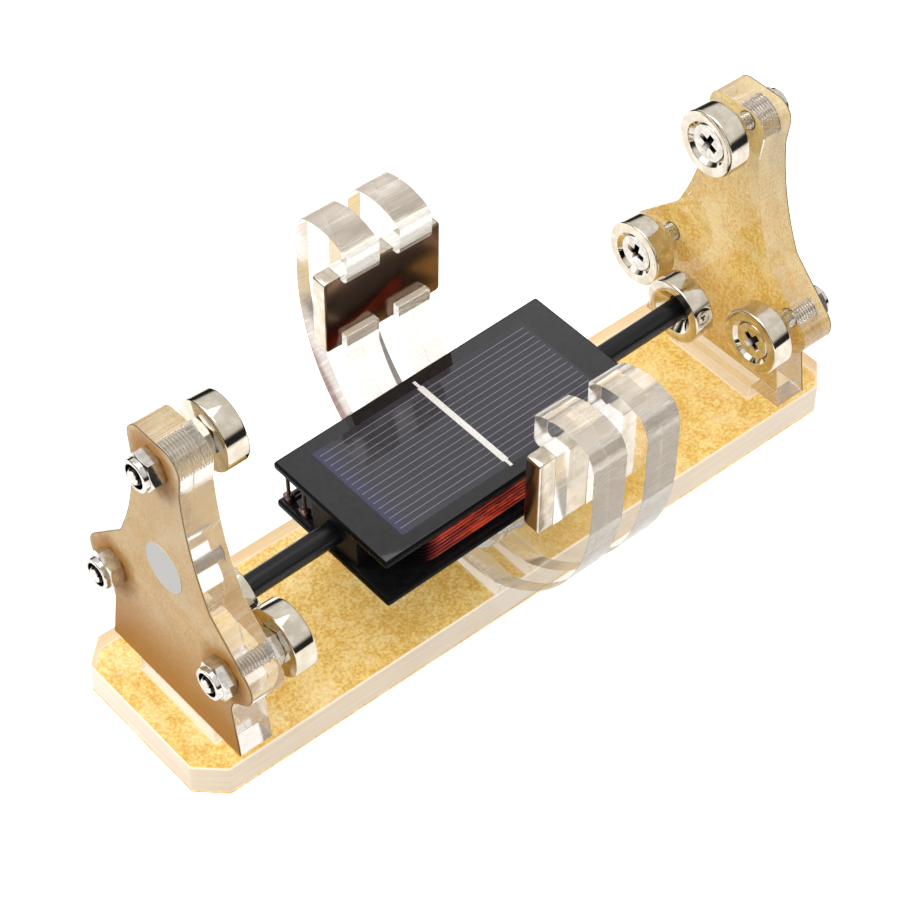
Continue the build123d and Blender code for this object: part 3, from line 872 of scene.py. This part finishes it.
def make_stacks(tree, plate, steel):
    """Each end plate's ring magnets, screws, clamp nuts and lock nuts."""
    screw, nut = screw_with_cross(), nut_shape()
    lock_nut = join_meshes([nut, collar_shape()])
    gap_edge, gap_floor = THREAD_DIAMETER / 2 + 0.6, 0.5
    screw_shades = [shade_of(*point) for point in screw[0]]
    lock_shades = [float(hypot(x, y) < gap_edge and z > gap_floor) for x, y, z in lock_nut[0]]
    clamp_twist, lock_twist, twist_step = 8, 12, 17
    near_turns, far_turns = (12, 40, 63), (24, 8, 38)  # degrees, as the crosses stand in the photo
    for end, turns in (("near", near_turns), ("far", far_turns)):
        spots = stack_places(end, turns)
        rings = repeated(tree, ring_shape(RING_BORE), spots, plate)
        ring_nodes = [f"{end}_{p}_ring_magnet" for p in PLACES]
        add_piece(f"{end}_ring_magnets", rings, plate, "stand", ring_nodes)
        screws = repeated(tree, screw, spots, steel, screw_shades)
        screw_nodes = [f"{end}_{p}_screw" for p in PLACES]
        add_piece(f"{end}_screws", screws, steel, "stand", screw_nodes, sharp=35)
        lock_face = min(abs(corner.x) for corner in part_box(f"{end}_lock_nuts"))
        lock_height = lock_face - abs(spots[0].translation.x)
        for kind, height, twist, shape, shades in (
            ("clamp", RING_THICKNESS * MM, clamp_twist, nut, None),
            ("lock", lock_height, lock_twist, lock_nut, lock_shades),
        ):
            raised = [
                m @ Matrix.Translation((0, 0, height))
                @ Matrix.Rotation(radians(twist + twist_step * i), 4, "Z")
                for i, m in enumerate(spots)
            ]
            nuts = repeated(tree, shape, raised, steel, shades)
            name, node = f"{end}_{kind}_nuts_bright", f"{end}_{kind}_nuts"
            add_piece(name, nuts, steel, "stand", [node], sharp=20)


def make_block_magnet(node, plate):
    """A plated bar magnet, its four long corners well rounded."""
    corner, edge = 1.0 * MM, 0.35 * MM
    bm = box_between(*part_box(node))
    long_edges = [
        e for e in bm.edges if abs((e.verts[0].co - e.verts[1].co).normalized().y) > 0.9
    ]
    ease(bm, long_edges, corner, 6)
    bm.normal_update()
    rims = [e for e in bm.edges if e.calc_face_angle() > radians(60)]
    ease(bm, rims, edge, 3)
    add_piece(f"{node}_plated", mesh_from(bm, node), plate, "stand", [node])


# ------------------------------------------------------------------ rotor

def make_rotor_magnets(plate):
    """The ring magnets on the shaft, their countersinks turned to the panels."""
    for end, side in (("near", -1), ("far", 1)):
        node = f"{end}_rotor_magnet"
        low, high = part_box(node)
        along = ((low + high) / 2 - ROTOR.translation).dot(shaft_line)
        front = ROTOR @ Matrix.Translation((along - side * RING_THICKNESS * MM / 2, 0, 0))
        place = front @ Matrix.Rotation(side * pi / 2, 4, "Y")
        ring = mesh_of(*moved(ring_shape(SHAFT_DIAMETER + 2 * SHAFT_FIT), place))
        add_piece(f"{end}_rotor_ring", ring, plate, "rotor", [node])


def winding_line(inset, first, count, leads):
    """The wire's middle line, in the rotor's frame: round the core, climbing on the left side."""
    arc_steps, climb_steps = 8, 12
    half_x, half_y, r = WINDING_X - inset, WINDING_Y - inset, CORNER - inset
    x_run, y_run = half_x - r, half_y - r
    points = []

    def turn(cx, cy, start, z, radius=r, sense=-1):
        for step in range(1, arc_steps):
            angle = pi / 2 * (start + sense * step / arc_steps)
            at(cx + radius * cos(angle), cy + radius * sin(angle), z)

    def at(x, y, z):
        points.append(Vector((PANEL_X + x, y, z)))

    if leads:
        at(LEAD_END_X, half_y, first)
    for number in range(1, count + 1):
        low, z = first + (number - 1) * PITCH, first + number * PITCH
        for step in range(climb_steps + 1):
            t = step / climb_steps
            at(-x_run + 2 * x_run * t, half_y, low + PITCH * t * t * (3 - 2 * t))
        turn(x_run, y_run, 1, z)
        at(half_x, y_run, z)
        at(half_x, -y_run, z)
        turn(x_run, -y_run, 0, z)
        at(x_run, -half_y, z)
        at(-x_run, -half_y, z)
        turn(-x_run, -y_run, 3, z)
        at(-half_x, -y_run, z)
        if number < count:
            at(-half_x, y_run, z)
            turn(-x_run, y_run, 2, z)
        elif leads:
            lead_y = half_y - LEAD_SPACING
            at(-half_x, lead_y - LEAD_BEND, z)
            turn(-half_x - LEAD_BEND, lead_y - LEAD_BEND, 0, z, LEAD_BEND, 1)
            at(-half_x - LEAD_BEND, lead_y, z)
            at(LEAD_END_X, lead_y, z)
    return points


def make_winding(material):
    """The wound wire with its leads, and a second layer that fills the gaps between its turns."""
    first, inset = -TURNS / 2 * PITCH, 0.3
    outer = tube(winding_line(0.0, first, TURNS, True), WIRE / 2)
    inner = tube(winding_line(inset, first + PITCH / 2, TURNS - 1, False), WIRE / 2)
    mesh = mesh_of(*moved(join_meshes([outer, inner]), ROTOR))
    add_piece("wound_wire", mesh, material, "rotor", ["coil_winding"], sharp=60)


def flat_strip(middle_x, half_x, y0, y1, z0, z1):
    """A thin strip with barely eased edges."""
    low, high = sorted((z0, z1))
    return slab((middle_x - half_x, y0, low), (middle_x + half_x, y1, high), 0.008, 1)


def make_panels(tree, resin, cell, fingers, ribbon):
    """Both solar panels: board, cell, printed fingers and the ribbon across them."""
    board_edge = 0.55
    finger_length, finger_width, finger_height, count, spacing = 53.6, 0.13, 0.02, 16, 1.65
    ribbon_strips = ((0.7, -12.6, 13.6, 0.06), (0.35, -14.4, 15.6, 0.05))  # half width, Y, height
    half_x, half_y = PANEL_LENGTH / 2, PANEL_WIDTH / 2
    for name, side in (("upper", 1), ("lower", -1)):
        low, high = sorted((side * (PANEL_OUTER - PANEL_THICKNESS), side * PANEL_OUTER))
        board = slab(
            (PANEL_X - half_x, -half_y, low), (PANEL_X + half_x, half_y, high), board_edge
        )
        board_mesh = mesh_of(*moved(board, ROTOR))
        add_piece(
            f"{name}_panel_board", board_mesh, resin, "rotor",
            [f"{name}_solar_panel"],
        )
        top, bottom = side * (PANEL_OUTER + CELL_PROUD), side * (PANEL_OUTER - CELL_DEPTH)
        wafer = flat_strip(
            PANEL_X, CELL_LENGTH / 2, -CELL_WIDTH / 2, CELL_WIDTH / 2, bottom, top
        )
        wafer_mesh = mesh_of(*moved(wafer, ROTOR))
        add_piece(
            f"{name}_cell_wafer", wafer_mesh, cell, "rotor",
            [f"{name}_solar_cell"],
        )
        line = flat_strip(
            0, finger_length / 2, -finger_width / 2, finger_width / 2, 0, finger_height
        )
        spots = []
        for i in range(count):
            y = (i - (count - 1) / 2) * spacing * MM
            spots.append(ROTOR @ Matrix.Translation((PANEL_X * MM, y, top * MM)))
        lines = repeated(tree, line, spots, fingers)
        add_piece(f"{name}_cell_fingers", lines, fingers, "rotor")
        bus = mesh_of(*moved(join_meshes([
            flat_strip(PANEL_X, half_width, y0, y1, top, top + side * height)
            for half_width, y0, y1, height in ribbon_strips
        ]), ROTOR))
        add_piece(f"{name}_bus_ribbon", bus, ribbon, "rotor")


# ------------------------------------------------------------------ masking paper

def make_paper(node, name, bonded, bare, facing):
    """Masking paper with its scorched rim; the side on the plastic, which faces this way, looks
    wetted. The 'rim' mark is 1 on its cut edge, and fades over a narrow band."""
    band = 0.45 * MM
    bm = merged_copy(node)
    rim = bm.verts.layers.float.new("rim")
    axis = max(range(3), key=lambda i: abs(facing[i]))
    for sign in (1, -1):
        region = [f for f in bm.faces if f.normal[axis] * sign > 0.9]
        bmesh.ops.inset_region(
            bm, faces=region, thickness=band, use_even_offset=True, use_boundary=True
        )
    bm.normal_update()
    for f in bm.faces:
        f.material_index = 0 if f.normal.dot(Vector(facing)) > 0.5 else 1
    for v in bm.verts:
        v[rim] = float(any(abs(f.normal[axis]) < 0.5 for f in v.link_faces))
    mesh = mesh_from(bm, name)
    place_piece(name, mesh, [bonded, bare], "stand", [node])


# ------------------------------------------------------------------ stage

def make_stage():
    """A floor that is pale to the camera, through the acrylic and in reflections near by, and
    dark otherwise, so that it throws little light up."""
    bm = bmesh.new()
    bmesh.ops.create_grid(bm, x_segments=1, y_segments=1, size=4.0)
    floor = linked("floor", mesh_from(bm, "floor"))
    floor.location.z = -0.1 * MM
    paint = new_paint("pale_floor")
    distance = paint.add(
        "ShaderNodeVectorMath", {"operation": "LENGTH"}, [paint.place()], out="Value"
    )
    near_by = 1 - distance.ramp(0.25, 0.6)
    seen = paint.ray("Camera").most(paint.ray("Transmission")).most(paint.ray("Glossy") * near_by)
    diffuse = paint.add("ShaderNodeBsdfDiffuse", None, {"Color": (0.82, 0.82, 0.82, 1)})
    glow = paint.add("ShaderNodeEmission", None, {"Color": WHITE, "Strength": 0.45})
    pale = paint.add("ShaderNodeAddShader", None, [diffuse, glow])
    dark = paint.add("ShaderNodeBsdfDiffuse", None, {"Color": (0.03, 0.03, 0.03, 1)})
    floor.data.materials.append(paint.surface(paint.blend(seen, dark, pale)))


def make_light():
    """A light tent: pale above, with a dark band along the horizon that gives the metal contrast
    and shows faintly through the glass. The camera itself sees white."""
    world = bpy.data.worlds.new("studio")
    bpy.context.scene.world = world
    paint = Paint(world)
    height = paint.coordinate("Z", paint.add("ShaderNodeTexCoord", out="Generated"))
    tent = paint.mix(height.ramp(0.0, 0.55), (0.6, 0.6, 0.6, 1), WHITE)
    band = 1 - (height - 0.04).size().ramp(0.12, 0.32)
    shown = (paint.ray("Glossy") * 0.97).most(paint.ray("Transmission") * 0.35)
    tent = paint.mix(band * shown, tent, (0.01, 0.01, 0.012, 1))
    colour = paint.mix(paint.ray("Camera"), tent, WHITE)
    paint.surface(paint.add("ShaderNodeBackground", None, {"Color": colour, "Strength": 1.0}))
    for name, place, size, power in (
        ("overhead", (-0.15, 0.1, 1.1), 0.9, 5.0),
        ("left_window", (-0.9, 0.5, 0.7), 0.7, 3.0),
    ):
        data = bpy.data.lights.new(name, "AREA")
        data.shape, data.size, data.energy = "SQUARE", size, power
        lamp = linked(name, data)
        lamp.location = place
        lamp.rotation_euler = (-Vector(place)).to_track_quat("-Z", "Y").to_euler()


# ------------------------------------------------------------------ the whole motor

def make_sheets(bores):
    """The base, end plates and arms of clear acrylic."""
    milk = srgb(232, 218, 198), srgb(248, 240, 228)
    warm_milk = srgb(245, 226, 204), srgb(254, 240, 221)
    base = clear_acrylic(
        "base_acrylic", "Z", least_frost=0.84, relief=0.03, edge_glow=0.25, milk=warm_milk
    )
    plates = clear_acrylic(
        "plate_acrylic", "X", least_frost=0.16, relief=0.07, edge_glow=0.08, milk=milk
    )
    arms = clear_acrylic(
        "arm_acrylic", "X", least_frost=0.16, relief=0.26, edge_glow=0.06, milk=milk,
        right_shade=RIGHT_SHADE,
    )
    from_node("base_plate", "base_sheet", base, edge=0.3, bonded=DOWN)
    for end, outward in (("near", (-1, 0, 0)), ("far", (1, 0, 0))):
        plate, arm = f"{end}_plate_clear", f"{end}_arm_clear"
        from_node(f"{end}_end_plate", plate, plates, edge=0.12, bores=bores, bonded=outward)
        from_node(f"{end}_stator_arm", arm, arms, edge=0.05)


def make_papers(bores):
    """The masking papers: golden where they are stuck to the plastic, beige on their backs."""
    golden = srgb(250, 219, 140), srgb(222, 172, 76), srgb(254, 236, 184)
    beige = srgb(250, 214, 160), srgb(232, 192, 136), srgb(255, 236, 200)
    bonded = kraft_paper("bonded_paper", *golden, glow=0.24, scorched=0.85, foot_shade=0.35)
    base_bonded = kraft_paper("base_bonded_paper", *golden, glow=0.26, scorched=0.0)
    bare = kraft_paper(
        "bare_paper", *beige, glow=0, scorched=0.85, foot_shade=0.85, nut_shade_centres=bores
    )
    make_paper("base_masking_paper", "base_paper", base_bonded, base_bonded, (0, 0, 1))
    make_paper("near_plate_paper", "near_paper", bonded, bare, (1, 0, 0))
    make_paper("far_plate_paper", "far_paper", bonded, bare, (-1, 0, 0))
    from_node("inspection_sticker", "blank_sticker", sticker_paper())


def make_rotor(tree, plate, steel):
    """Everything that turns."""
    rod, black = black_rod(), black_plastic()
    for node in ("near_shaft", "far_shaft"):
        from_node(node, f"{node}_rod", rod, edge=0.15)
    from_node("thrust_point", "thrust_pin", steel)
    for node in ("near_shaft_block", "far_shaft_block", "coil_core"):
        from_node(node, f"{node}_black", black, edge=0.15)
    make_rotor_magnets(plate)
    make_winding(enamel())
    from_node("solder_pads", "solder_lumps", solder(), edge=0.4, segments=3)
    from_node("panel_link_wires", "link_leads", link_insulation())
    fingers = silver_print("silver_fingers", srgb(146, 144, 152), roughness=0.25)
    ribbon = silver_print("tinned_ribbon", srgb(232, 228, 222), roughness=0.3)
    make_panels(tree, panel_resin(), silicon(), fingers, ribbon)


def main():
    scene = bpy.context.scene
    scene.view_settings.view_transform = "Standard"
    bounces = 24
    scene.cycles.max_bounces = bounces
    scene.cycles.transmission_bounces = bounces
    scene.cycles.glossy_bounces = bounces
    scene.cycles.transparent_max_bounces = bounces
    make_camera()
    make_stage()
    make_light()
    tree = repeat_tree()
    plate, steel = nickel("nickel_plate", gloss=0.04), screw_steel()
    screws = [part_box(f"near_{place}_screw") for place in PLACES]
    bores = [((low.y + high.y) / 2, (low.z + high.z) / 2) for low, high in screws]
    make_sheets(bores)
    make_papers(bores)
    dull_plate = nickel("dull_nickel_plate", gloss=0.16, dark_reflection=srgb(124, 100, 82))
    for side in ("left", "right"):
        make_block_magnet(f"{side}_block_magnet", dull_plate)
    make_stacks(tree, plate, steel)
    make_rotor(tree, plate, steel)


main()
